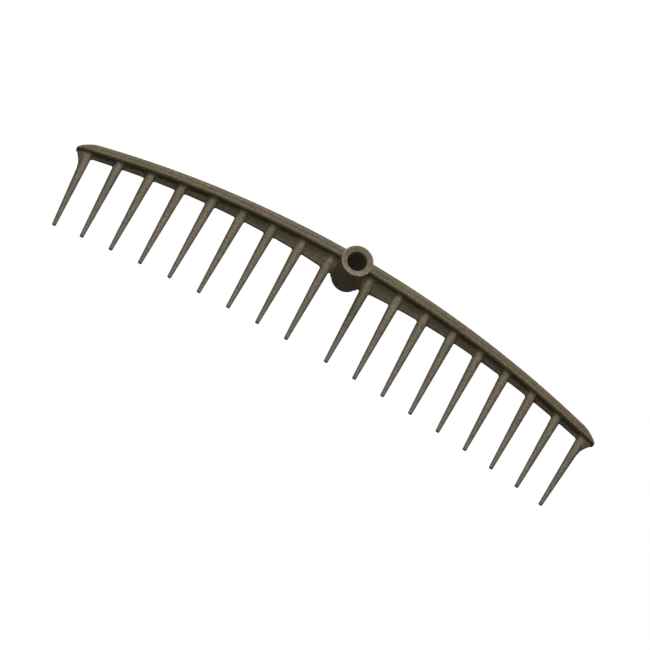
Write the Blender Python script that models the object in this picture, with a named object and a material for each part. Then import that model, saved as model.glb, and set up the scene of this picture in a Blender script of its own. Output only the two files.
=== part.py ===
"""Head of a bow rake: an arched bar, a tapered handle socket, eighteen tines and two end gussets.

The head lies on its back. +X runs along the bar, the tines point along -Y and the handle would
leave the socket along +Z. The bar, the socket, the gussets and the backs of the tines share the
plane Z = 0. Each tine has a round tang that enters a blind pocket in the bar's front face.

Shapes are worked out in a plan frame whose Y = 0 is the socket's axis. The parent empty then
puts the middle of the whole head over the world's origin.
"""
import math

import bmesh
import bpy
from mathutils import Vector

MM = 0.001
FIT_GAP = 0.3 * MM

# Bar, seen in plan: its back face is one arc, rounded off at both ends.
HALF_WIDTH = 351.5 * MM
BACK_ARC_RADIUS = 1292.0 * MM
CROWN_Y = 26.5 * MM
NOSE_RADIUS = 29.4 * MM
NOSE_START = 330.0 * MM
BAR_DEPTH_MIDDLE = 13.4 * MM
BAR_DEPTH_END = 10.7 * MM
BAR_HEIGHT_MIDDLE = 19.0 * MM
BAR_HEIGHT_END = 16.0 * MM
BACK_EDGE_RADIUS = 3.0 * MM
FRONT_EDGE_RADIUS = 2.6 * MM
FOOT_CHAMFER = 1.0 * MM
END_LIFT = 7.0 * MM
END_LIFT_START = 339.0 * MM

# Flange along the bar's foot, deepest beside the socket and almost gone at the tips of the noses.
FLANGE_DEPTH_END = 2.0 * MM
FLANGE_DEPTH_AT_TIP = 0.4 * MM
FLANGE_LAST_FADE_START = 339.8 * MM
FLANGE_EXTRA_AT_SOCKET = 18.2 * MM
FLANGE_FADE_LENGTH = 145.0 * MM
FLANGE_LIP_HEIGHT = 4.0 * MM
FLANGE_SLOPE = 0.35
FLANGE_FILLET = 2.0 * MM
FLANGE_LIP_ROUND = 1.2 * MM

# Tines.
TINES_PER_SIDE = 9
TINE_PITCH = 38.8 * MM
FIRST_TINE_X = 27.0 * MM
END_TINE_INSET = 0.9 * MM
TIP_CROWN_Y = -107.0 * MM
TIP_ARC_RADIUS = 2640.0 * MM
TINE_FAN_AT_END = math.radians(4.2)
TIP_WIDTH = 4.8 * MM
TIP_HEIGHT = 4.4 * MM
WIDTH_TAPER = 0.067
HEIGHT_TAPER = 0.062
TIP_ROUND = 1.8 * MM
TANG_RADIUS = 3.0 * MM
TANG_LENGTH = 7.0 * MM
TANG_Z = 5.5 * MM
TANG_SIDES = 12
SEAT_DEPTH = 0.2 * MM

# Handle socket.
SOCKET_LENGTH = 62.0 * MM
SOCKET_BASE_RADIUS = 17.8 * MM
SOCKET_MOUTH_RADIUS = 19.5 * MM
BORE_MOUTH_RADIUS = 11.6 * MM
BORE_BASE_RADIUS = 9.8 * MM
RIM_OUTER_ROUND = 1.3 * MM
RIM_INNER_ROUND = 2.0 * MM
SOCKET_SIDES = 48

# End gussets, between the outermost tines and the bar's ends.
GUSSET_HEIGHT_BY_TINE = 7.0 * MM
GUSSET_EDGE_THICKNESS = 4.0 * MM
GUSSET_OUTER_INSET = 1.8 * MM
GUSSET_REACH = 19.0 * MM
GUSSET_TOE = 0.5 * MM
GUSSET_BEND = 0.6
GUSSET_STEPS = 9

STATION_STEP = 12.0 * MM
NOSE_STEPS = 9

PLASTIC_COLOUR = (0.105, 0.082, 0.055, 1.0)
SOCKET_COLOUR = (0.115, 0.09, 0.062, 1.0)
TINE_COLOUR = (0.125, 0.10, 0.068, 1.0)


def clear_scene():
    for obj in list(bpy.data.objects):
        bpy.data.objects.remove(obj, do_unlink=True)


def plastic(name, colour):
    material = bpy.data.materials.new(name)
    material.use_nodes = True
    shader = material.node_tree.nodes["Principled BSDF"]
    shader.inputs["Base Color"].default_value = colour
    shader.inputs["Roughness"].default_value = 0.5
    shader.inputs["Metallic"].default_value = 0.0
    return material


def along_bar(at_middle, at_end, x):
    """A size that changes from the bar's middle to its ends, slowly at first."""
    share = (abs(x) / HALF_WIDTH) ** 2
    return at_middle + (at_end - at_middle) * share


def back_arc_y(x):
    return CROWN_Y - BACK_ARC_RADIUS + math.sqrt(BACK_ARC_RADIUS ** 2 - x ** 2)


def back_face_y(x):
    """The bar's back face, with the round nose at each end."""
    past_start = abs(x) - NOSE_START
    if past_start <= 0.0:
        return back_arc_y(x)
    drop = NOSE_RADIUS - math.sqrt(NOSE_RADIUS ** 2 - past_start ** 2)
    return back_arc_y(x) - drop


def front_face_y(x):
    return back_arc_y(x) - along_bar(BAR_DEPTH_MIDDLE, BAR_DEPTH_END, x)


def front_face_slope(x):
    step = 1.0 * MM
    return (front_face_y(x + step) - front_face_y(x - step)) / (2.0 * step)


def flange_depth(x):
    last_fade = HALF_WIDTH - FLANGE_LAST_FADE_START
    past_start = max(0.0, abs(x) - FLANGE_LAST_FADE_START) / last_fade
    depth = FLANGE_DEPTH_END + FLANGE_EXTRA_AT_SOCKET * math.exp(-abs(x) / FLANGE_FADE_LENGTH)
    return depth + (FLANGE_DEPTH_AT_TIP - depth) * past_start


def end_lift(x):
    """How far the underside rises towards the tips of the noses."""
    share = max(0.0, abs(x) - END_LIFT_START) / (HALF_WIDTH - END_LIFT_START)
    return END_LIFT * share ** 1.5


def arc_points(centre, radius, start_deg, end_deg, steps):
    """Points of an arc in the Y-Z plane, both ends included."""
    points = []
    for step in range(steps + 1):
        angle = math.radians(start_deg + (end_deg - start_deg) * step / steps)
        points.append((centre[0] + radius * math.cos(angle), centre[1] + radius * math.sin(angle)))
    return points


def bar_section(x):
    """The bar's outline with its flange at one place along it, as (y, z) points."""
    back = back_face_y(x)
    front = front_face_y(x)
    depth = flange_depth(x)
    lip = front - depth
    height = along_bar(BAR_HEIGHT_MIDDLE, BAR_HEIGHT_END, x)
    room = 0.45 * (back - front)
    back_round = min(BACK_EDGE_RADIUS, room)
    front_round = min(FRONT_EDGE_RADIUS, room)
    fillet = min(FLANGE_FILLET, 0.4 * depth)
    lip_round = min(FLANGE_LIP_ROUND, 0.35 * depth)
    foot_chamfer = min(FOOT_CHAMFER, 0.4 * (back - lip))
    root_height = FLANGE_LIP_HEIGHT + FLANGE_SLOPE * depth

    points = [(back - foot_chamfer, 0.0), (back, FOOT_CHAMFER)]
    points += arc_points((back - back_round, height - back_round), back_round, 0.0, 90.0, 3)
    points += arc_points((front + front_round, height - front_round), front_round, 90.0, 180.0, 3)
    points += [(front, root_height + fillet), (front - 0.3 * fillet, root_height + 0.3 * fillet)]
    points += [(front - fillet, root_height - FLANGE_SLOPE * fillet)]
    points += [(lip + lip_round, FLANGE_LIP_HEIGHT)]
    points += [(lip + 0.3 * lip_round, FLANGE_LIP_HEIGHT - 0.3 * lip_round)]
    points += [(lip, FLANGE_LIP_HEIGHT - lip_round)]
    points += [(lip, FOOT_CHAMFER), (lip + foot_chamfer, 0.0)]
    lift = end_lift(x)
    return [(y, lift + z * (1.0 - lift / height)) for y, z in points]


def bar_stations():
    """Places along the bar where its section is drawn, closer together at the noses."""
    count = round(NOSE_START / STATION_STEP)
    half = [NOSE_START * step / count for step in range(count + 1)]
    reach = HALF_WIDTH - NOSE_START
    last_angle = math.asin(reach / NOSE_RADIUS)
    for step in range(1, NOSE_STEPS + 1):
        half.append(NOSE_START + NOSE_RADIUS * math.sin(last_angle * step / NOSE_STEPS))
    return [-x for x in reversed(half[1:])] + half


def tine_places():
    """Each tine's x at the bar's front face, from left to right."""
    half = [FIRST_TINE_X + TINE_PITCH * step for step in range(TINES_PER_SIDE)]
    half[-1] -= END_TINE_INSET
    return [-x for x in reversed(half)] + half


def tine_frame(x):
    """Root point, unit direction towards the tip and length of the tine that starts at x."""
    share = x / tine_places()[-1]
    fan = TINE_FAN_AT_END * share ** 5
    direction = Vector((-math.sin(fan), -math.cos(fan), 0.0))
    root = Vector((x, front_face_y(x), 0.0))
    tip_y = TIP_CROWN_Y - TIP_ARC_RADIUS + math.sqrt(TIP_ARC_RADIUS ** 2 - x ** 2)
    length = (root.y - tip_y) / math.cos(fan)
    return root, direction, length


def tine_outline(width, height):
    """A D-shaped section: flat back at Z = 0, domed front. Points are (across, z)."""
    half = 0.5 * width
    shoulder = 0.3 * height
    points = [(-0.9 * half, 0.0), (-half, 0.12 * height)]
    steps = 8
    for step in range(steps + 1):
        angle = math.pi * (1.0 - step / steps)
        across = math.copysign(abs(math.cos(angle)) ** 0.8, math.cos(angle))
        points.append((half * across, shoulder + (height - shoulder) * math.sin(angle) ** 0.8))
    points += [(half, 0.12 * height), (0.9 * half, 0.0)]
    return points


def new_object(name, bm, material, parent):
    bmesh.ops.recalc_face_normals(bm, faces=bm.faces)
    mesh = bpy.data.meshes.new(name)
    bm.to_mesh(mesh)
    bm.free()
    mesh.materials.append(material)
    obj = bpy.data.objects.new(name, mesh)
    bpy.context.collection.objects.link(obj)
    obj.parent = parent
    return obj


def skin_rings(bm, rings):
    """Joins rings of equal length with quads and closes both ends."""
    loops = [[bm.verts.new(point) for point in ring] for ring in rings]
    for near, far in zip(loops, loops[1:]):
        for index in range(len(near)):
            after = (index + 1) % len(near)
            bm.faces.new((near[index], near[after], far[after], far[index]))
    bm.faces.new(loops[0])
    bm.faces.new(list(reversed(loops[-1])))


def smooth_round(obj, angle_deg):
    obj.data.shade_smooth()
    obj.data.set_sharp_from_angle(angle=math.radians(angle_deg))


def boolean(target, tool, operation):
    modifier = target.modifiers.new(operation.lower() + "_" + tool.name, "BOOLEAN")
    modifier.operation = operation
    modifier.solver = "EXACT"
    modifier.object = tool


def mark_as_tool(obj):
    obj.hide_render = True
    obj.display_type = "WIRE"


def turned(bm, profile, sides):
    """Turns a closed (radius, z) profile about the socket's axis."""
    loops = []
    for side in range(sides):
        angle = 2.0 * math.pi * side / sides
        loops.append([bm.verts.new((r * math.cos(angle), r * math.sin(angle), z)) for r, z in profile])
    for side in range(sides):
        near = loops[side]
        far = loops[(side + 1) % sides]
        for index in range(len(profile)):
            after = (index + 1) % len(profile)
            bm.faces.new((near[index], near[after], far[after], far[index]))


def socket_outer_radius(z):
    return SOCKET_BASE_RADIUS + (SOCKET_MOUTH_RADIUS - SOCKET_BASE_RADIUS) * z / SOCKET_LENGTH


def make_socket(parent, material):
    outer_centre = (SOCKET_MOUTH_RADIUS - RIM_OUTER_ROUND, SOCKET_LENGTH - RIM_OUTER_ROUND)
    inner_centre = (BORE_MOUTH_RADIUS + RIM_INNER_ROUND, SOCKET_LENGTH - RIM_INNER_ROUND)
    outer = arc_points(outer_centre, RIM_OUTER_ROUND, 0.0, 90.0, 4)
    inner = arc_points(inner_centre, RIM_INNER_ROUND, 90.0, 180.0, 3)
    foot_out = [(SOCKET_BASE_RADIUS - FOOT_CHAMFER, 0.0), (SOCKET_BASE_RADIUS, FOOT_CHAMFER)]
    foot_in = [(BORE_BASE_RADIUS, FOOT_CHAMFER), (BORE_BASE_RADIUS + FOOT_CHAMFER, 0.0)]
    bm = bmesh.new()
    turned(bm, foot_out + outer + inner + foot_in, SOCKET_SIDES)
    socket = new_object("handle_socket", bm, material, parent)
    smooth_round(socket, 40)
    return socket


def make_socket_clearance(parent, material):
    """A cone a little wider than the socket, which hollows out the bar for it."""
    overrun = 2.0 * MM
    rings = []
    for z in (-overrun, SOCKET_LENGTH):
        radius = socket_outer_radius(z) + FIT_GAP
        ring = []
        for side in range(SOCKET_SIDES):
            angle = 2.0 * math.pi * side / SOCKET_SIDES
            ring.append((radius * math.cos(angle), radius * math.sin(angle), z))
        rings.append(ring)
    bm = bmesh.new()
    skin_rings(bm, rings)
    tool = new_object("socket_clearance", bm, material, parent)
    mark_as_tool(tool)
    return tool


def add_prism(bm, outline, low, high):
    skin_rings(bm, [[(x, y, z) for x, y in outline] for z in (low, high)])


def make_tine_notches(parent, material):
    """Slots through the flange, one for each tine, ending just inside the bar's front face."""
    top = 30.0 * MM
    bm = bmesh.new()
    for x in tine_places():
        root, direction, length = tine_frame(x)
        side = Vector((-direction.y, direction.x, 0.0))
        run = flange_depth(x) + 12.0 * MM
        outline = []
        for sign in (-1.0, 1.0):
            wide = 0.5 * (TIP_WIDTH + WIDTH_TAPER * length) + FIT_GAP
            seat_x = x + sign * wide
            outline.append((seat_x, root.y + front_face_slope(x) * (seat_x - x) + SEAT_DEPTH))
        for sign in (1.0, -1.0):
            wide = 0.5 * (TIP_WIDTH + WIDTH_TAPER * (length - run)) + FIT_GAP
            far = root + direction * run + side * sign * wide
            outline.append((far.x, far.y))
        add_prism(bm, outline, -2.0 * MM, top)
    tool = new_object("tine_notches", bm, material, parent)
    mark_as_tool(tool)
    return tool


def add_rod(bm, start, direction, length, radius):
    """A closed rod with a round section along a level direction."""
    across = Vector((-direction.y, direction.x, 0.0))
    rings = []
    for distance in (0.0, length):
        ring = []
        for side in range(TANG_SIDES):
            angle = 2.0 * math.pi * (side + 0.5) / TANG_SIDES
            level = across * radius * math.cos(angle)
            rise = Vector((0.0, 0.0, radius * math.sin(angle)))
            ring.append(start + direction * distance + level + rise)
        rings.append(ring)
    skin_rings(bm, rings)


def make_tang_pockets(parent, material):
    bm = bmesh.new()
    for x in tine_places():
        root, direction, _length = tine_frame(x)
        mouth = root + direction * TIP_ROUND + Vector((0.0, 0.0, TANG_Z))
        length = TIP_ROUND + TANG_LENGTH + 2.0 * FIT_GAP
        add_rod(bm, mouth, -direction, length, TANG_RADIUS + FIT_GAP)
    tool = new_object("tang_pockets", bm, material, parent)
    mark_as_tool(tool)
    return tool


def make_bar(parent, material):
    bm = bmesh.new()
    skin_rings(bm, [[(x, y, z) for y, z in bar_section(x)] for x in bar_stations()])
    bar = new_object("back_bar", bm, material, parent)
    boolean(bar, make_socket_clearance(parent, material), "DIFFERENCE")
    boolean(bar, make_tine_notches(parent, material), "DIFFERENCE")
    boolean(bar, make_tang_pockets(parent, material), "DIFFERENCE")
    smooth_round(bar, 35)
    return bar


def tine_rings(x):
    """The tine's sections, from its seat on the bar to its rounded tip."""
    root, direction, length = tine_frame(x)
    side = Vector((direction.y, -direction.x, 0.0))
    slope = front_face_slope(x)
    rings = []
    root_ring = []
    root_width = TIP_WIDTH + WIDTH_TAPER * length
    root_height = TIP_HEIGHT + HEIGHT_TAPER * length
    for across, z in tine_outline(root_width, root_height):
        point_x = x - across
        seat_y = root.y + slope * (point_x - x) + SEAT_DEPTH - FIT_GAP
        root_ring.append(Vector((point_x, seat_y, z)))
    rings.append(root_ring)
    for share in (1.0, 0.55, 0.2, 0.0):
        from_tip = TIP_ROUND * share
        shrink = 0.55 + 0.45 * math.sqrt(1.0 - (1.0 - share) ** 2)
        width = TIP_WIDTH + WIDTH_TAPER * from_tip
        height = TIP_HEIGHT + HEIGHT_TAPER * from_tip
        middle = root + direction * (length - from_tip) + Vector((0.0, 0.0, 0.5 * height))
        ring = []
        for across, z in tine_outline(width, height):
            offset = side * across + Vector((0.0, 0.0, z - 0.5 * height))
            ring.append(middle + offset * shrink)
        rings.append(ring)
    return rings


def make_tine(number, x, parent, material):
    name = "tine_%02d" % number
    bm = bmesh.new()
    skin_rings(bm, tine_rings(x))
    tine = new_object(name, bm, material, parent)
    root, direction, _length = tine_frame(x)
    overlap = 3.0 * MM
    start = root + direction * overlap + Vector((0.0, 0.0, TANG_Z))
    bm = bmesh.new()
    add_rod(bm, start, -direction, TANG_LENGTH + overlap, TANG_RADIUS)
    tang = new_object(name + "_tang", bm, material, parent)
    mark_as_tool(tang)
    boolean(tine, tang, "UNION")
    smooth_round(tine, 40)
    return tine


def gusset_rings(sign):
    """Sections of a gusset from the bar's flange to its toe, beside the end tine."""
    root, direction, length = tine_frame(sign * tine_places()[-1])
    outward = Vector((sign, 0.0, 0.0))

    def beside_tine(run):
        wide = 0.5 * (TIP_WIDTH + WIDTH_TAPER * (length - run)) + FIT_GAP
        return root + direction * run + outward * wide

    def below_flange(place):
        return Vector((place, front_face_y(place) - flange_depth(place) - FIT_GAP, 0.0))

    corner = below_flange(beside_tine(FLANGE_DEPTH_END).x)
    first_run = (corner.y - root.y) / direction.y
    outer = below_flange(sign * (HALF_WIDTH - GUSSET_OUTER_INSET))
    bend = beside_tine(GUSSET_BEND * GUSSET_REACH) + outward * GUSSET_TOE
    toe = beside_tine(GUSSET_REACH) + outward * GUSSET_TOE
    thick = Vector((0.0, 0.0, GUSSET_EDGE_THICKNESS))
    high = Vector((0.0, 0.0, GUSSET_HEIGHT_BY_TINE))
    rings = []
    for step in range(GUSSET_STEPS + 1):
        t = step / GUSSET_STEPS
        edge = outer * (1 - t) ** 2 + bend * 2 * t * (1 - t) + toe * t ** 2
        edge.z = end_lift(edge.x)
        inner = beside_tine(first_run + (GUSSET_REACH - first_run) * t)
        rings.append([inner, edge, edge + thick, inner + high])
    return rings


def make_gusset(name, sign, parent, material):
    bm = bmesh.new()
    skin_rings(bm, gusset_rings(sign))
    gusset = new_object(name, bm, material, parent)
    smooth_round(gusset, 40)
    return gusset


def head_middle_y():
    """Middle of the head from the bar's crown to the end tines' tips."""
    root, direction, length = tine_frame(tine_places()[-1])
    lowest = root + direction * length
    return 0.5 * (CROWN_Y + lowest.y)


def make_head():
    head = bpy.data.objects.new("rake_head", None)
    bpy.context.collection.objects.link(head)
    head.location = (0.0, -head_middle_y(), 0.0)
    make_bar(head, plastic("bar_plastic", PLASTIC_COLOUR))
    make_socket(head, plastic("socket_plastic", SOCKET_COLOUR))
    for number, x in enumerate(tine_places(), start=1):
        make_tine(number, x, head, plastic("tine_%02d_plastic" % number, TINE_COLOUR))
    make_gusset("end_gusset_left", -1.0, head, plastic("gusset_left_plastic", PLASTIC_COLOUR))
    make_gusset("end_gusset_right", 1.0, head, plastic("gusset_right_plastic", PLASTIC_COLOUR))


clear_scene()
make_head()
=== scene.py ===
"""Looks of the bow rake head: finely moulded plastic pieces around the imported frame.

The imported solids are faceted, so each is replaced by a finer mesh of the same piece: the same arcs
and tapers, with more stations, rounded edges and a fillet where two pieces run together.
Lengths are metres. +X runs along the bar, the tines point along -Y, the socket opens along +Z.
Shapes are worked out in a plan frame whose Y = 0 is the socket's axis, then moved into the row frame.
"""
import math

import bmesh
import bpy
import numpy as np
from mathutils import Matrix, Vector
from mathutils.bvhtree import BVHTree


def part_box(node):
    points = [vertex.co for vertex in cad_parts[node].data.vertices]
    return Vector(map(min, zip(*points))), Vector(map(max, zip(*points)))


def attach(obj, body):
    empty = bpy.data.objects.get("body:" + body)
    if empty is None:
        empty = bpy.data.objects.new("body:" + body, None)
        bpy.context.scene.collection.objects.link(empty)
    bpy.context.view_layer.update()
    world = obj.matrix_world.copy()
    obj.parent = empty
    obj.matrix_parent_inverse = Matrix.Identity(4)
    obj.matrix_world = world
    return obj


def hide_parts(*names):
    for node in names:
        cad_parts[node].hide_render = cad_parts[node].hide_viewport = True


MM = 0.001

# Bar, as in the CAD model: one arc in plan with a round nose at each end.
HALF_WIDTH = 351.5 * MM
BACK_ARC_RADIUS = 1292.0 * MM
CROWN_Y = 26.5 * MM
NOSE_RADIUS = 29.4 * MM
NOSE_START = 330.0 * MM
BAR_DEPTH_MIDDLE = 13.4 * MM
BAR_DEPTH_END = 10.7 * MM
BAR_HEIGHT_MIDDLE = 19.0 * MM
BAR_HEIGHT_END = 16.0 * MM
FOOT_ROUND = 1.0 * MM
END_LIFT = 7.0 * MM
END_LIFT_START = 339.0 * MM
END_LIFT_POWER = 1.5

# The bar's upper edges. Each takes at most a share of the bar's depth: along the bar, at the tips.
BACK_EDGE_RADIUS = 3.0 * MM
FRONT_EDGE_RADIUS = 2.6 * MM
BACK_EDGE_SHARE = (0.45, 0.25)
FRONT_EDGE_SHARE = (0.45, 0.70)

# The bar's top is slightly crowned, and a shallow groove runs along it. Both fade out down the sides.
TOP_CROWN = 0.9 * MM
GROOVE_DEPTH = 0.4 * MM
GROOVE_HALF_WIDTH = 1.8 * MM
GROOVE_PLACE = 0.6
TOP_FADE_START = 1.0 * MM
TOP_FADE_END = 4.0 * MM

# Flange along the bar's foot.
FLANGE_DEPTH_END = 2.0 * MM
FLANGE_DEPTH_AT_TIP = 0.4 * MM
FLANGE_LAST_FADE_START = 339.8 * MM
FLANGE_EXTRA_AT_SOCKET = 18.2 * MM
FLANGE_FADE_LENGTH = 145.0 * MM
FLANGE_LIP_HEIGHT = 4.0 * MM
FLANGE_SLOPE = 0.35
FLANGE_FILLET = 2.5 * MM
FLANGE_LIP_ROUND = 1.2 * MM

# Tines.
TINES_PER_SIDE = 9
TINE_PITCH = 38.8 * MM
FIRST_TINE_X = 27.0 * MM
END_TINE_INSET = 0.9 * MM
TIP_CROWN_Y = -107.0 * MM
TIP_ARC_RADIUS = 2640.0 * MM
TINE_FAN_AT_END = math.radians(4.2)
TINE_FAN_POWER = 5
TIP_WIDTH = 4.8 * MM
TIP_HEIGHT = 4.4 * MM
WIDTH_TAPER = 0.067
HEIGHT_TAPER = 0.062
TIP_ROUND = 1.8 * MM
TIP_END_SIZE = 0.42
TIP_ROUND_POWER = 0.9
TINE_SHOULDER = 0.3
TINE_FOOT_ROUND = 0.6 * MM
TINE_FOOT_SHARE = 0.3
TINE_DOME_POWER = 0.8
TINE_ROOT_DEPTH = 3.0 * MM
TINE_FILLET = 2.0 * MM

# Handle socket.
SOCKET_LENGTH = 62.0 * MM
SOCKET_BASE_RADIUS = 17.8 * MM
SOCKET_MOUTH_RADIUS = 19.5 * MM
BORE_MOUTH_RADIUS = 11.6 * MM
BORE_BASE_RADIUS = 9.8 * MM
RIM_OUTER_ROUND = 1.3 * MM
RIM_INNER_ROUND = 2.6 * MM
RIM_DISH = 2.3 * MM
SOCKET_FILLET = 3.0 * MM
SOCKET_OVERLAP = 0.4 * MM

# End gussets.
GUSSET_EDGE_THICKNESS = 4.0 * MM
GUSSET_OUTER_INSET = 1.8 * MM
GUSSET_REACH = 19.0 * MM
GUSSET_TOE = 0.5 * MM
GUSSET_BEND = 0.6
GUSSET_CORE_OFFSET = 1.0 * MM
GUSSET_CORE_ROUND = 0.2 * MM
GUSSET_EDGE_ROUND = 1.6 * MM
GUSSET_FILLET = 0.8 * MM
# Where the outer edge goes on inside the bar: steps inwards and back from its outer end.
GUSSET_EDGE_IN_BAR = ((0.5 * MM, 1.2 * MM), (2.0 * MM, 3.0 * MM))

# How far a piece's underside rises once it is inside its neighbour, so that no two faces coincide,
# and the stretch and height over which a tine's underside comes back down.
HIDDEN_LIFT = 0.5 * MM
HIDDEN_LIFT_RUN = 1.5 * MM
HIDDEN_LIFT_HEIGHT = 2.0 * MM

# A small round takes at most this share of the flange's depth or the gusset's reach.
SMALL_ROUND_SHARE = 0.4
LIP_ROUND_SHARE = 0.35

# How finely the meshes are drawn: closer together where a fillet has to follow a neighbour, which
# is near the socket on the bar, and through the flange and a little past it on a tine.
FINE_SPACING = 0.7 * MM
BAR_SPACING = 2.6 * MM
TINE_SPACING = 3.2 * MM
FINE_REACH_ON_BAR = 30.0 * MM
FINE_REACH_PAST_FLANGE = 6.0 * MM
NOSE_STEPS = 30
GUSSET_STATIONS = 36
SOCKET_SIDES = 120
CONE_SIDES = 128

# A little off the vertical, so that a ray never runs along an upright face.
UPWARD = Vector((0.03, 0.02, 1.0)).normalized()

# Plastic: linear colours as (olive, brown), and how far the flow lines are stretched along X, Y, Z.
BAR_COLOURS = ((0.120, 0.109, 0.053), (0.172, 0.110, 0.056))
SOCKET_COLOURS = ((0.170, 0.160, 0.088), (0.228, 0.158, 0.090))
TINE_COLOURS = ((0.146, 0.143, 0.085), (0.200, 0.143, 0.093))
TIP_GREY = (0.152, 0.156, 0.136)
STREAK_SHADE = 0.68
# Pale colour on tight rounds, partly rubbed wear and partly a painted highlight: how much brighter
# than the brown it is, and a lift on top.
RUB_AND_SHEEN_GAIN = 1.5
RUB_AND_SHEEN_RISE = 0.02
EVEN = (1.0, 1.0, 1.0)
BAR_FLOW = (0.07, 1.0, 1.0)
SOCKET_FLOW = (1.0, 1.0, 0.15)
TINE_FLOW = (1.0, 0.12, 1.0)
TIP_WEAR = 0.5
TIP_WEAR_FROM_Y = 20.0 * MM
TIP_WEAR_TO_Y = -70.0 * MM
SHARP_ANGLE = math.radians(50.0)
# A round this tight or tighter takes the full pale mark of rubbed wear and painted highlight.
FULL_RUB_AND_SHEEN_RADIUS = 1.6 * MM

# Studio.
STUDIO_FLAT_RADIUS = 9.0
STUDIO_DOME_HEIGHT = 12.0
STUDIO_DROP = 0.2 * MM
WORLD_COLOUR = (0.82, 0.95, 1.0)
WORLD_STRENGTH = 0.11

# Camera.
CAMERA_ELEVATION = math.radians(66.7)
CAMERA_AZIMUTH = math.radians(-5.3)
CAMERA_ROLL = math.radians(34.8)
CAMERA_AIM = Vector((0.0055, -0.0143, 0.0))
CAMERA_DISTANCE = 6.0
CAMERA_LENS_MM = 282.1


def between(first, second, share):
    return first + (second - first) * share


def clamped(value):
    return min(1.0, max(0.0, value))


# Plan of the head


def along_bar(at_middle, at_end, x):
    """A size that changes from the bar's middle to its ends, slowly at first."""
    return between(at_middle, at_end, (abs(x) / HALF_WIDTH) ** 2)


def share_past(start, x):
    """How far x has come from a place along the bar to the tip of its nose, from 0 to 1."""
    return max(0.0, abs(x) - start) / (HALF_WIDTH - start)


def back_arc_y(x):
    return CROWN_Y - BACK_ARC_RADIUS + math.sqrt(BACK_ARC_RADIUS ** 2 - x ** 2)


def back_face_y(x):
    past_start = max(0.0, abs(x) - NOSE_START)
    drop = NOSE_RADIUS - math.sqrt(NOSE_RADIUS ** 2 - past_start ** 2)
    return back_arc_y(x) - drop


def front_face_y(x):
    return back_arc_y(x) - along_bar(BAR_DEPTH_MIDDLE, BAR_DEPTH_END, x)


def flange_depth(x):
    depth = FLANGE_DEPTH_END + FLANGE_EXTRA_AT_SOCKET * math.exp(-abs(x) / FLANGE_FADE_LENGTH)
    return between(depth, FLANGE_DEPTH_AT_TIP, share_past(FLANGE_LAST_FADE_START, x))


def end_lift(x):
    """How far the underside rises towards the tips of the noses."""
    return END_LIFT * share_past(END_LIFT_START, x) ** END_LIFT_POWER


def tine_places():
    half = [FIRST_TINE_X + TINE_PITCH * step for step in range(TINES_PER_SIDE)]
    half[-1] -= END_TINE_INSET
    return [-x for x in reversed(half)] + half


def tine_frame(x):
    """Root point, unit direction towards the tip and length of the tine that starts at x."""
    share = x / tine_places()[-1]
    fan = TINE_FAN_AT_END * share ** TINE_FAN_POWER
    direction = Vector((-math.sin(fan), -math.cos(fan), 0.0))
    root = Vector((x, front_face_y(x), 0.0))
    tip_y = TIP_CROWN_Y - TIP_ARC_RADIUS + math.sqrt(TIP_ARC_RADIUS ** 2 - x ** 2)
    return root, direction, (root.y - tip_y) / math.cos(fan)


def tine_size(from_tip):
    """Width and height of a tine's section at a distance from its tip."""
    return TIP_WIDTH + WIDTH_TAPER * from_tip, TIP_HEIGHT + HEIGHT_TAPER * from_tip


def socket_outer_radius(z):
    return between(SOCKET_BASE_RADIUS, SOCKET_MOUTH_RADIUS, z / SOCKET_LENGTH)


# Mesh tools


def upright(z):
    return Vector((0.0, 0.0, z))


def spread(start, end, spacing):
    """Values from start to end, both included, at about the given spacing."""
    count = max(1, math.ceil(abs(end - start) / spacing))
    return [start + (end - start) * step / count for step in range(count + 1)]


def rounded_outline(corners, runs, arc_steps):
    """A closed 2-D outline with round corners.

    Each corner is (a, b, radius), and runs gives the number of pieces that the straight stretch
    after each corner is divided into.
    """
    rounds = []
    for index, (a, b, radius) in enumerate(corners):
        corner = Vector((a, b))
        before = (corner - Vector(corners[index - 1][:2])).normalized()
        after = (Vector(corners[(index + 1) % len(corners)][:2]) - corner).normalized()
        turn = math.atan2(before.x * after.y - before.y * after.x, before.dot(after))
        reach = radius * math.tan(abs(turn) / 2.0)
        start = corner - before * reach
        inward = Vector((-before.y, before.x)) * math.copysign(radius, turn)
        centre = start + inward
        arc = []
        for step in range(arc_steps + 1):
            angle = turn * step / arc_steps
            spoke = Matrix.Rotation(angle, 2) @ (-inward)
            arc.append(centre + spoke)
        rounds.append(arc)
    points = []
    for index, arc in enumerate(rounds):
        points += arc
        end = rounds[(index + 1) % len(rounds)][0]
        pieces = runs[index]
        points += [arc[-1].lerp(end, step / pieces) for step in range(1, pieces)]
    return points


def skin(rings, closed=False):
    """Vertices and quads that join rings of equal length. Open skins get a cap at each end."""
    size = len(rings[0])
    points = [Vector(point) for ring in rings for point in ring]
    faces = []
    last = len(rings) if closed else len(rings) - 1
    for ring in range(last):
        near = ring * size
        far = (ring + 1) % len(rings) * size
        for index in range(size):
            after = (index + 1) % size
            faces.append((near + index, near + after, far + after, far + index))
    if not closed:
        faces.append(tuple(reversed(range(size))))
        faces.append(tuple(range((len(rings) - 1) * size, len(rings) * size)))
    return points, faces


def outward_mesh(name, points, faces):
    """A mesh of these faces, each turned to face outwards."""
    mesh = bpy.data.meshes.new(name)
    mesh.from_pydata(points, [], faces)
    bm = bmesh.new()
    bm.from_mesh(mesh)
    bmesh.ops.recalc_face_normals(bm, faces=bm.faces)
    bm.to_mesh(mesh)
    bm.free()
    return mesh


def point_normals(points, faces):
    mesh = outward_mesh("normals", points, faces)
    normals = [vertex.normal.copy() for vertex in mesh.vertices]
    bpy.data.meshes.remove(mesh)
    return normals


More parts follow.
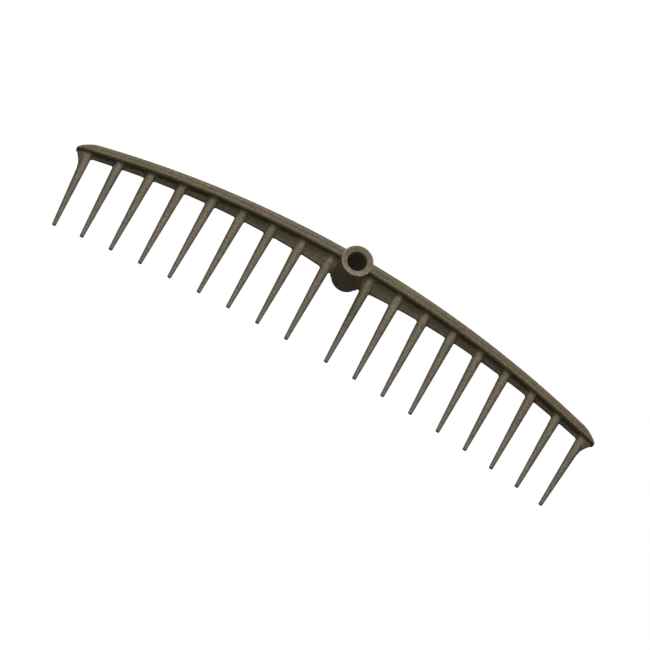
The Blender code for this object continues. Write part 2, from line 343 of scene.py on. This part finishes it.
def surface_tree(points, faces):
    """A tree for finding the nearest place on a closed surface."""
    mesh = outward_mesh("tree", points, faces)
    bm = bmesh.new()
    bm.from_mesh(mesh)
    tree = BVHTree.FromBMesh(bm)
    bm.free()
    bpy.data.meshes.remove(mesh)
    return tree


def distance_outside(tree, point, limit):
    """Distance from a closed surface: none inside it, and the limit when it is farther away."""
    place, normal, _face, _distance = tree.ray_cast(point, UPWARD)
    if place is not None and normal.dot(UPWARD) > 0.0:
        return 0.0
    place, _normal, _face, distance = tree.find_nearest(point, limit)
    return limit if place is None else distance


def add_fillets(points, faces, trees, radius):
    """Swells a piece where it runs into its neighbours, so that the corner between them is round.

    Nothing swells below the plane that the head lies on.
    """
    normals = point_normals(points, faces)
    swollen = []
    for point, normal in zip(points, normals):
        swell = 0.0
        for tree in trees:
            gap = distance_outside(tree, point, radius)
            rise = radius - math.sqrt(radius ** 2 - (radius - gap) ** 2)
            swell = max(swell, rise)
        moved = point + normal * swell
        moved.z = max(moved.z, min(point.z, 0.0))
        swollen.append(moved)
    return swollen


def make_piece(name, points, faces, shift):
    mesh = outward_mesh(name, points, faces)
    mesh.transform(Matrix.Translation(shift))
    piece = bpy.data.objects.new(name, mesh)
    bpy.context.scene.collection.objects.link(piece)
    return piece


def cut(piece, tool):
    """Cuts the tool's shape out of the piece for good, and removes the tool."""
    modifier = piece.modifiers.new("cut", "BOOLEAN")
    modifier.operation = "DIFFERENCE"
    modifier.solver = "EXACT"
    modifier.object = tool
    bpy.context.view_layer.update()
    depsgraph = bpy.context.evaluated_depsgraph_get()
    result = bpy.data.meshes.new_from_object(piece.evaluated_get(depsgraph))
    piece.modifiers.clear()
    piece.data = result
    bpy.data.objects.remove(tool)


# Bar


def top_sink(y, below_top, back, front):
    """How far the crown and the groove lower a point of the bar's section."""
    groove_y = between(back, front, GROOVE_PLACE)
    off_groove = (y - groove_y) / GROOVE_HALF_WIDTH
    off_middle = 2.0 * (y - 0.5 * (back + front)) / (back - front)
    sink = GROOVE_DEPTH * math.exp(-off_groove ** 2) + TOP_CROWN * min(1.0, off_middle ** 2)
    near_top = clamped((TOP_FADE_END - below_top) / (TOP_FADE_END - TOP_FADE_START))
    full_depth = min(1.0, (back - front) / BAR_DEPTH_END)
    return sink * near_top * full_depth


def bar_section(x):
    """The bar's outline with its flange at one place along it, as (x, y, z) points."""
    back = back_face_y(x)
    front = front_face_y(x)
    flange = flange_depth(x)
    lip = front - flange
    height = along_bar(BAR_HEIGHT_MIDDLE, BAR_HEIGHT_END, x)
    nose = share_past(NOSE_START, x)
    back_room = between(*BACK_EDGE_SHARE, nose) * (back - front)
    front_room = between(*FRONT_EDGE_SHARE, nose) * (back - front)
    root_height = FLANGE_LIP_HEIGHT + FLANGE_SLOPE * flange
    corners = [
        (back, 0.0, min(FOOT_ROUND, back_room)),
        (back, height, min(BACK_EDGE_RADIUS, back_room)),
        (front, height, min(FRONT_EDGE_RADIUS * (1.0 + nose), front_room)),
        (front, root_height, min(FLANGE_FILLET, SMALL_ROUND_SHARE * flange)),
        (lip, FLANGE_LIP_HEIGHT, min(FLANGE_LIP_ROUND, LIP_ROUND_SHARE * flange)),
        (lip, 0.0, min(FOOT_ROUND, SMALL_ROUND_SHARE * flange)),
    ]
    outline = rounded_outline(corners, runs=(10, 8, 8, 20, 4, 24), arc_steps=7)
    lift = end_lift(x)
    section = []
    for y, z in outline:
        z -= top_sink(y, height - z, back, front)
        section.append((x, y, between(lift, height, z / height)))
    return section


def bar_stations():
    """Places along the bar where its section is drawn, close together by the socket and noses."""
    half = spread(0.0, FINE_REACH_ON_BAR, FINE_SPACING)
    half += spread(FINE_REACH_ON_BAR, NOSE_START, BAR_SPACING)[1:]
    last_angle = math.asin((HALF_WIDTH - NOSE_START) / NOSE_RADIUS)
    for step in range(1, NOSE_STEPS + 1):
        half.append(NOSE_START + NOSE_RADIUS * math.sin(last_angle * step / NOSE_STEPS))
    return [-x for x in reversed(half[1:])] + half


def bar_surface():
    return skin([bar_section(x) for x in bar_stations()])


def socket_cone(grow, low, high):
    """The socket's outside as a plain cone, from one height to another."""
    angles = [2.0 * math.pi * side / CONE_SIDES for side in range(CONE_SIDES)]
    rings = []
    for z in (low, high):
        radius = socket_outer_radius(z) + grow
        rings.append([(radius * math.cos(a), radius * math.sin(a), z) for a in angles])
    return skin(rings)


def make_bar(shift):
    """The bar with its round corner against the socket, and the socket's room cut out of it.

    Both cones run on past the bar's top and foot, so that neither ends inside it.
    """
    points, faces = bar_surface()
    socket_tree = surface_tree(*socket_cone(0.0, -20.0 * MM, 80.0 * MM))
    points = add_fillets(points, faces, [socket_tree], SOCKET_FILLET)
    bar = make_piece("bar_moulding", points, faces, shift)
    room = socket_cone(-SOCKET_OVERLAP, -4.0 * MM, SOCKET_LENGTH)
    cut(bar, make_piece("socket_room", *room, shift))
    return bar


# Socket


def socket_profile():
    """The socket's closed outline as (radius, z), from its foot up the outside and down the bore."""
    corners = [
        (SOCKET_BASE_RADIUS, 0.0, FOOT_ROUND),
        (SOCKET_MOUTH_RADIUS, SOCKET_LENGTH, RIM_OUTER_ROUND),
        (BORE_MOUTH_RADIUS, SOCKET_LENGTH - RIM_DISH, RIM_INNER_ROUND),
        (BORE_BASE_RADIUS, 0.0, FOOT_ROUND),
    ]
    return rounded_outline(corners, runs=(28, 5, 24, 5), arc_steps=10)


def make_socket(shift):
    profile = socket_profile()
    rings = []
    for side in range(SOCKET_SIDES):
        angle = 2.0 * math.pi * side / SOCKET_SIDES
        rings.append([(r * math.cos(angle), r * math.sin(angle), z) for r, z in profile])
    points, faces = skin(rings, closed=True)
    return make_piece("socket_moulding", points, faces, shift)


# Tines


def tine_outline(width, height):
    """A domed section with a flat back at Z = 0 and round feet, as (across, z) points."""
    half = 0.5 * width
    shoulder = TINE_SHOULDER * height
    foot = min(TINE_FOOT_ROUND, TINE_FOOT_SHARE * shoulder)
    points = []
    back_steps = 8
    for step in range(back_steps):
        points.append((half - foot - (width - 2.0 * foot) * step / back_steps, 0.0))
    foot_steps = 3
    for step in range(foot_steps):
        angle = 0.5 * math.pi * step / foot_steps
        points.append((-half + foot - foot * math.sin(angle), foot - foot * math.cos(angle)))
    side_steps = 4
    for step in range(side_steps):
        points.append((-half, foot + (shoulder - foot) * step / side_steps))
    dome_steps = 26
    for step in range(dome_steps):
        angle = math.pi * (1.0 - step / dome_steps)
        across = math.copysign(abs(math.cos(angle)) ** TINE_DOME_POWER, math.cos(angle))
        rise = (height - shoulder) * math.sin(angle) ** TINE_DOME_POWER
        points.append((half * across, shoulder + rise))
    for step in range(side_steps):
        points.append((half, shoulder + (foot - shoulder) * step / side_steps))
    for step in range(foot_steps):
        angle = 0.5 * math.pi * (1.0 - step / foot_steps)
        points.append((half - foot + foot * math.sin(angle), foot - foot * math.cos(angle)))
    return points


def tine_surface(x):
    """The tine from inside the bar to its round tip, before its fillets."""
    root, direction, length = tine_frame(x)
    side = Vector((-direction.y, direction.x, 0.0))
    flange = flange_depth(x)
    fine_end = flange + FINE_REACH_PAST_FLANGE
    runs = spread(-TINE_ROOT_DEPTH, fine_end, FINE_SPACING)
    runs += spread(fine_end, length - TIP_ROUND, TINE_SPACING)[1:]
    rings = []
    for run in runs:
        hidden = clamped((flange - run) / HIDDEN_LIFT_RUN)
        ring = []
        for across, z in tine_outline(*tine_size(length - run)):
            lift = HIDDEN_LIFT * hidden * max(0.0, 1.0 - z / HIDDEN_LIFT_HEIGHT)
            ring.append(root + direction * run + side * across + upright(z + lift))
        rings.append(ring)
    tip_steps = 7
    for step in range(1, tip_steps + 1):
        angle = 0.5 * math.pi * step / tip_steps
        from_tip = TIP_ROUND * (1.0 - math.sin(angle))
        shrink = between(TIP_END_SIZE, 1.0, math.cos(angle) ** TIP_ROUND_POWER)
        width, height = tine_size(from_tip)
        middle = root + direction * (length - from_tip) + upright(0.5 * height)
        ring = []
        for across, z in tine_outline(width, height):
            ring.append(middle + (side * across + upright(z - 0.5 * height)) * shrink)
        rings.append(ring)
    return skin(rings)


def make_tine(number, x, neighbours, shift):
    points, faces = tine_surface(x)
    points = add_fillets(points, faces, neighbours, TINE_FILLET)
    return make_piece("tine_moulding_%02d" % number, points, faces, shift)


# Gussets


def gusset_edge(sign):
    """The gusset's outer edge in plan: from its toe on the tine, in a hollow curve, into the bar."""
    root, direction, length = tine_frame(sign * tine_places()[-1])
    outward = Vector((sign, 0.0, 0.0))

    def beside_tine(run):
        width, _height = tine_size(length - run)
        return root + direction * run + outward * (0.5 * width + GUSSET_TOE)

    outer_x = sign * (HALF_WIDTH - GUSSET_OUTER_INSET)
    outer = Vector((outer_x, front_face_y(outer_x) - flange_depth(outer_x), 0.0))
    toe = beside_tine(GUSSET_REACH)
    bend = beside_tine(GUSSET_BEND * GUSSET_REACH)
    edge = []
    for step in range(GUSSET_STATIONS + 1):
        t = step / GUSSET_STATIONS
        edge.append(toe * (1 - t) ** 2 + bend * 2 * t * (1 - t) + outer * t ** 2)
    for inwards, back in GUSSET_EDGE_IN_BAR:
        edge.append(outer + Vector((-sign * inwards, back, 0.0)))
    return edge


def gusset_surface(sign):
    """A web in the corner between the end tine and the flange, sloping down to its outer edge."""
    root, direction, length = tine_frame(sign * tine_places()[-1])
    outward = Vector((sign, 0.0, 0.0))
    rings = []
    for edge in gusset_edge(sign):
        low = end_lift(edge.x)
        run = (edge - root).dot(direction)
        core = root + direction * run + outward * GUSSET_CORE_OFFSET
        across = edge - core
        reach = across.length
        across.normalize()
        _width, tine_height = tine_size(length - run)
        room = SMALL_ROUND_SHARE * reach
        corners = [
            (0.0, HIDDEN_LIFT, GUSSET_CORE_ROUND),
            (reach, low, min(FOOT_ROUND, room)),
            (reach, low + GUSSET_EDGE_THICKNESS, min(GUSSET_EDGE_ROUND, room)),
            (0.0, tine_height - HIDDEN_LIFT, GUSSET_CORE_ROUND),
        ]
        outline = rounded_outline(corners, runs=(12, 7, 12, 7), arc_steps=6)
        rings.append([core + across * a + upright(b) for a, b in outline])
    return skin(rings)


def make_gusset(name, sign, neighbours, shift):
    points, faces = gusset_surface(sign)
    points = add_fillets(points, faces, neighbours, GUSSET_FILLET)
    return make_piece(name, points, faces, shift)


# Surface marks


def finish_mesh(mesh):
    """Smooth shading, and a mark on each point that says how tightly the surface bulges there."""
    mesh.shade_smooth()
    mesh.set_sharp_from_angle(angle=SHARP_ANGLE)
    count = len(mesh.vertices)
    places = np.zeros(count * 3)
    mesh.vertices.foreach_get("co", places)
    places = places.reshape(-1, 3)
    normals = np.zeros(count * 3)
    mesh.vertices.foreach_get("normal", normals)
    normals = normals.reshape(-1, 3)
    ends = np.zeros(len(mesh.edges) * 2, dtype=np.int64)
    mesh.edges.foreach_get("vertices", ends)
    start, end = ends.reshape(-1, 2).T
    step = places[end] - places[start]
    squared = np.maximum((step ** 2).sum(axis=1), (0.1 * MM) ** 2)
    tightest = np.zeros(count)
    np.maximum.at(tightest, start, -2.0 * (step * normals[start]).sum(axis=1) / squared)
    np.maximum.at(tightest, end, 2.0 * (step * normals[end]).sum(axis=1) / squared)
    # Full on the tightest rounds. The plastic paints this mark partly as rubbed wear and partly as a
    # painted highlight on the rounds.
    rub_and_sheen = np.clip(tightest * FULL_RUB_AND_SHEEN_RADIUS, 0.0, 1.0)
    smoothed = rub_and_sheen.copy()
    neighbours = np.ones(count)
    for here, there in ((start, end), (end, start)):
        np.add.at(smoothed, here, rub_and_sheen[there])
        np.add.at(neighbours, here, 1.0)
    attribute = mesh.attributes.new("edge_rub_and_sheen", "FLOAT", "POINT")
    attribute.data.foreach_set("value", (smoothed / neighbours).astype(np.float32))


# Material


def colour_ramp(tree, value, low, high):
    """A colour that follows a value. Each end is a (value, colour) pair."""
    ramp = tree.nodes.new("ShaderNodeValToRGB")
    for element, (position, colour) in zip(ramp.color_ramp.elements, (low, high)):
        element.position = position
        element.color = (*colour, 1.0)
    tree.links.new(value, ramp.inputs["Fac"])
    return ramp.outputs["Color"]


def noise(tree, coordinates, scale, detail, roughness=0.55, stretch=EVEN):
    """A noise texture in metres, stretched by the given factors along X, Y and Z."""
    mapping = tree.nodes.new("ShaderNodeMapping")
    mapping.inputs["Scale"].default_value = stretch
    tree.links.new(coordinates, mapping.inputs["Vector"])
    texture = tree.nodes.new("ShaderNodeTexNoise")
    texture.inputs["Scale"].default_value = scale
    texture.inputs["Detail"].default_value = detail
    texture.inputs["Roughness"].default_value = roughness
    tree.links.new(mapping.outputs["Vector"], texture.inputs["Vector"])
    return texture.outputs["Fac"]


def mix_colours(tree, factor, first, second, blend="MIX"):
    mix = tree.nodes.new("ShaderNodeMix")
    mix.data_type = "RGBA"
    mix.blend_type = blend
    mix.clamp_factor = True
    if isinstance(factor, float):
        mix.inputs["Factor"].default_value = factor
    else:
        tree.links.new(factor, mix.inputs["Factor"])
    for socket, value in ((mix.inputs["A"], first), (mix.inputs["B"], second)):
        if isinstance(value, tuple):
            socket.default_value = (*value, 1.0)
        else:
            tree.links.new(value, socket)
    return mix.outputs["Result"]


def scale_between(tree, value, source, target):
    """A value moved from one (low, high) range to another, and held at the target's ends."""
    ranged = tree.nodes.new("ShaderNodeMapRange")
    ranged.inputs["From Min"].default_value = source[0]
    ranged.inputs["From Max"].default_value = source[1]
    ranged.inputs["To Min"].default_value = target[0]
    ranged.inputs["To Max"].default_value = target[1]
    tree.links.new(value, ranged.inputs["Value"])
    return ranged.outputs["Result"]


def product(tree, first, second):
    multiply = tree.nodes.new("ShaderNodeMath")
    multiply.operation = "MULTIPLY"
    tree.links.new(first, multiply.inputs[0])
    tree.links.new(second, multiply.inputs[1])
    return multiply.outputs["Value"]


def add_bump(tree, height, strength, distance, before=None):
    bump = tree.nodes.new("ShaderNodeBump")
    bump.inputs["Strength"].default_value = strength
    bump.inputs["Distance"].default_value = distance
    tree.links.new(height, bump.inputs["Height"])
    if before is not None:
        tree.links.new(before, bump.inputs["Normal"])
    return bump.outputs["Normal"]


def moulded_plastic(name, colours, flow, offset, tip_wear=0.0):
    """Brown moulded plastic: cloudy colour, flow lines along the piece, fine grain, and pale edges
    that are partly rubbed wear, partly a painted highlight.
    """
    olive, brown = colours
    # pale: the colour of tight rounds, partly rubbed wear and partly a painted highlight.
    dark = tuple(channel * STREAK_SHADE for channel in olive)
    pale = tuple(min(1.0, channel * RUB_AND_SHEEN_GAIN + RUB_AND_SHEEN_RISE) for channel in brown)

    material = bpy.data.materials.new(name)
    material.use_nodes = True
    tree = material.node_tree
    shader = tree.nodes["Principled BSDF"]
    shader.inputs["Metallic"].default_value = 0.0
    shader.inputs["IOR"].default_value = 1.5
    shader.inputs["Specular IOR Level"].default_value = 0.3

    place = tree.nodes.new("ShaderNodeTexCoord").outputs["Object"]
    moved = tree.nodes.new("ShaderNodeMapping")
    moved.inputs["Location"].default_value = offset
    tree.links.new(place, moved.inputs["Vector"])
    here = moved.outputs["Vector"]

    clouds = noise(tree, here, scale=62.0, detail=3.0)
    mottle = noise(tree, here, scale=420.0, detail=5.0, roughness=0.65)
    flow_lines = noise(tree, here, scale=260.0, detail=4.0, roughness=0.6, stretch=flow)
    grain = noise(tree, here, scale=1500.0, detail=2.0)
    scuffs = noise(tree, here, scale=190.0, detail=6.0, roughness=0.7)

    colour = colour_ramp(tree, clouds, (0.42, olive), (0.58, brown))
    streaks = scale_between(tree, flow_lines, (0.42, 0.6), (0.0, 0.6))
    colour = mix_colours(tree, streaks, colour, dark)
    # Paler on tight rounds, unevenly: partly rubbed wear, partly a painted highlight on the rounds.
    rub_and_sheen = tree.nodes.new("ShaderNodeAttribute")
    rub_and_sheen.attribute_name = "edge_rub_and_sheen"
    uneven = scale_between(tree, scuffs, (0.35, 0.62), (0.15, 0.75))
    colour = mix_colours(tree, product(tree, rub_and_sheen.outputs["Fac"], uneven), colour, pale)
    if tip_wear > 0.0:
        axes = tree.nodes.new("ShaderNodeSeparateXYZ")
        tree.links.new(place, axes.inputs["Vector"])
        tine_range = (TIP_WEAR_FROM_Y, TIP_WEAR_TO_Y)
        along_tine = scale_between(tree, axes.outputs["Y"], tine_range, (0.0, tip_wear))
        colour = mix_colours(tree, along_tine, colour, TIP_GREY)
    shade = scale_between(tree, mottle, (0.36, 0.64), (0.62, 1.38))
    colour = mix_colours(tree, 1.0, colour, shade, "MULTIPLY")
    tree.links.new(colour, shader.inputs["Base Color"])

    roughness = scale_between(tree, scuffs, (0.3, 0.7), (0.42, 0.58))
    tree.links.new(roughness, shader.inputs["Roughness"])

    waves = add_bump(tree, clouds, strength=0.35, distance=0.6 * MM)
    lines = add_bump(tree, flow_lines, strength=0.25, distance=0.12 * MM, before=waves)
    pits = add_bump(tree, grain, strength=0.35, distance=0.06 * MM, before=lines)
    tree.links.new(pits, shader.inputs["Normal"])
    return material


# Stage


def glowing_white(name, base, glow):
    material = bpy.data.materials.new(name)
    material.use_nodes = True
    shader = material.node_tree.nodes["Principled BSDF"]
    shader.inputs["Base Color"].default_value = (base, base, base, 1.0)
    shader.inputs["Roughness"].default_value = 1.0
    shader.inputs["Specular IOR Level"].default_value = 0.0
    shader.inputs["Emission Color"].default_value = (1.0, 1.0, 1.0, 1.0)
    shader.inputs["Emission Strength"].default_value = glow
    return material


def add_stage():
    """A pale floor that sweeps up into a pale dome all round. Neither lights the object."""
    floor_radii = (0.6, 1.5, 3.0, 6.0, STUDIO_FLAT_RADIUS)
    profile = [(radius, 0.0) for radius in floor_radii]
    dome_steps = 12
    for step in range(1, dome_steps + 1):
        angle = 0.5 * math.pi * step / dome_steps
        radius = STUDIO_FLAT_RADIUS * math.cos(angle) + 1.0 * MM
        profile.append((radius, STUDIO_DOME_HEIGHT * math.sin(angle)))
    sides = 64
    points = [Vector((0.0, 0.0, 0.0))]
    for radius, z in profile:
        for side in range(sides):
            angle = 2.0 * math.pi * side / sides
            points.append(Vector((radius * math.cos(angle), radius * math.sin(angle), z)))
    faces = [(0, 1 + side, 1 + (side + 1) % sides) for side in range(sides)]
    for ring in range(len(profile) - 1):
        near = 1 + ring * sides
        far = near + sides
        for side in range(sides):
            after = (side + 1) % sides
            faces.append((near + side, far + side, far + after, near + after))
    mesh = bpy.data.meshes.new("studio")
    mesh.from_pydata(points, [], faces)
    mesh.shade_smooth()
    mesh.materials.append(glowing_white("studio_white", base=0.05, glow=0.98))
    studio = bpy.data.objects.new("studio", mesh)
    bpy.context.scene.collection.objects.link(studio)
    studio.location.z = -STUDIO_DROP
    studio.visible_diffuse = False
    studio.visible_glossy = False
    studio.visible_shadow = False


def add_softbox(name, place, size, watts):
    """A square light that faces the middle of the head."""
    light = bpy.data.lights.new(name, "AREA")
    light.shape = "SQUARE"
    light.size = size
    light.energy = watts
    lamp = bpy.data.objects.new(name, light)
    bpy.context.scene.collection.objects.link(lamp)
    lamp.location = place
    lamp.rotation_euler = (-Vector(place)).to_track_quat("-Z", "Y").to_euler()


def add_lights():
    add_softbox("key_softbox", (-0.15, 1.85, 2.0), size=1.3, watts=44.0)
    add_softbox("overhead_softbox", (-0.4, 0.3, 3.0), size=3.0, watts=34.0)
    world = bpy.data.worlds.new("studio_world")
    world.use_nodes = True
    background = world.node_tree.nodes["Background"]
    background.inputs["Color"].default_value = (*WORLD_COLOUR, 1.0)
    background.inputs["Strength"].default_value = WORLD_STRENGTH
    bpy.context.scene.world = world


def add_camera():
    level_x = math.cos(CAMERA_AZIMUTH)
    level_y = math.sin(CAMERA_AZIMUTH)
    flat = math.cos(CAMERA_ELEVATION)
    towards = Vector((level_y * flat, -level_x * flat, math.sin(CAMERA_ELEVATION)))
    level = Vector((level_x, level_y, 0.0))
    tilted = towards.cross(level)
    right = level * math.cos(CAMERA_ROLL) + tilted * math.sin(CAMERA_ROLL)
    up = tilted * math.cos(CAMERA_ROLL) - level * math.sin(CAMERA_ROLL)
    data = bpy.data.cameras.new("camera")
    data.lens = CAMERA_LENS_MM
    data.clip_end = 100.0
    camera = bpy.data.objects.new("camera", data)
    bpy.context.scene.collection.objects.link(camera)
    turned = Matrix((right, up, towards)).transposed().to_4x4()
    camera.matrix_world = Matrix.Translation(CAMERA_AIM + towards * CAMERA_DISTANCE) @ turned
    bpy.context.scene.camera = camera


def place_piece(piece, node, material):
    finish_mesh(piece.data)
    piece.data.materials.append(material)
    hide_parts(node)
    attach(piece, "root")


def build_head(shift):
    """Every piece in its place, each with its own part of the plastic's pattern."""
    bar_tree = surface_tree(*bar_surface())

    offset = (0.0, 0.0, 0.0)
    bar_plastic = moulded_plastic("bar_plastic", BAR_COLOURS, BAR_FLOW, offset)
    place_piece(make_bar(shift), "back_bar", bar_plastic)

    offset = (0.3, 0.1, 0.0)
    socket_plastic = moulded_plastic("socket_plastic", SOCKET_COLOURS, SOCKET_FLOW, offset)
    place_piece(make_socket(shift), "handle_socket", socket_plastic)

    for number, x in enumerate(tine_places(), start=1):
        tine = make_tine(number, x, [bar_tree], shift)
        offset = (0.37 * number, 0.11 * number, 0.0)
        plastic_name = "tine_plastic_%02d" % number
        tine_plastic = moulded_plastic(plastic_name, TINE_COLOURS, TINE_FLOW, offset, TIP_WEAR)
        place_piece(tine, "tine_%02d" % number, tine_plastic)

    for side_name, sign in (("left", -1.0), ("right", 1.0)):
        trees = [bar_tree, surface_tree(*tine_surface(sign * tine_places()[-1]))]
        gusset = make_gusset("gusset_moulding_" + side_name, sign, trees, shift)
        offset = (0.5 * sign, 0.2, 0.0)
        plastic_name = "gusset_plastic_" + side_name
        gusset_plastic = moulded_plastic(plastic_name, TINE_COLOURS, EVEN, offset)
        place_piece(gusset, "end_gusset_" + side_name, gusset_plastic)


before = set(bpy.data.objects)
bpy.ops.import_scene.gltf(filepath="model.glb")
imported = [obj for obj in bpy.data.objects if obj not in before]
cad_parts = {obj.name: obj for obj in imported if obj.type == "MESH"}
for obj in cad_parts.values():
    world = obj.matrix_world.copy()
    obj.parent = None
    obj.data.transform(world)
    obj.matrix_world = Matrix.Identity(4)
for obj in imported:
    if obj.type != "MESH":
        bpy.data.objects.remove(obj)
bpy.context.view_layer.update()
socket_low, socket_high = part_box("handle_socket")
plan_to_row = Vector((0.0, 0.5 * (socket_low.y + socket_high.y), 0.0))

bpy.context.scene.view_settings.view_transform = "Standard"
build_head(plan_to_row)
add_stage()
add_lights()
add_camera()
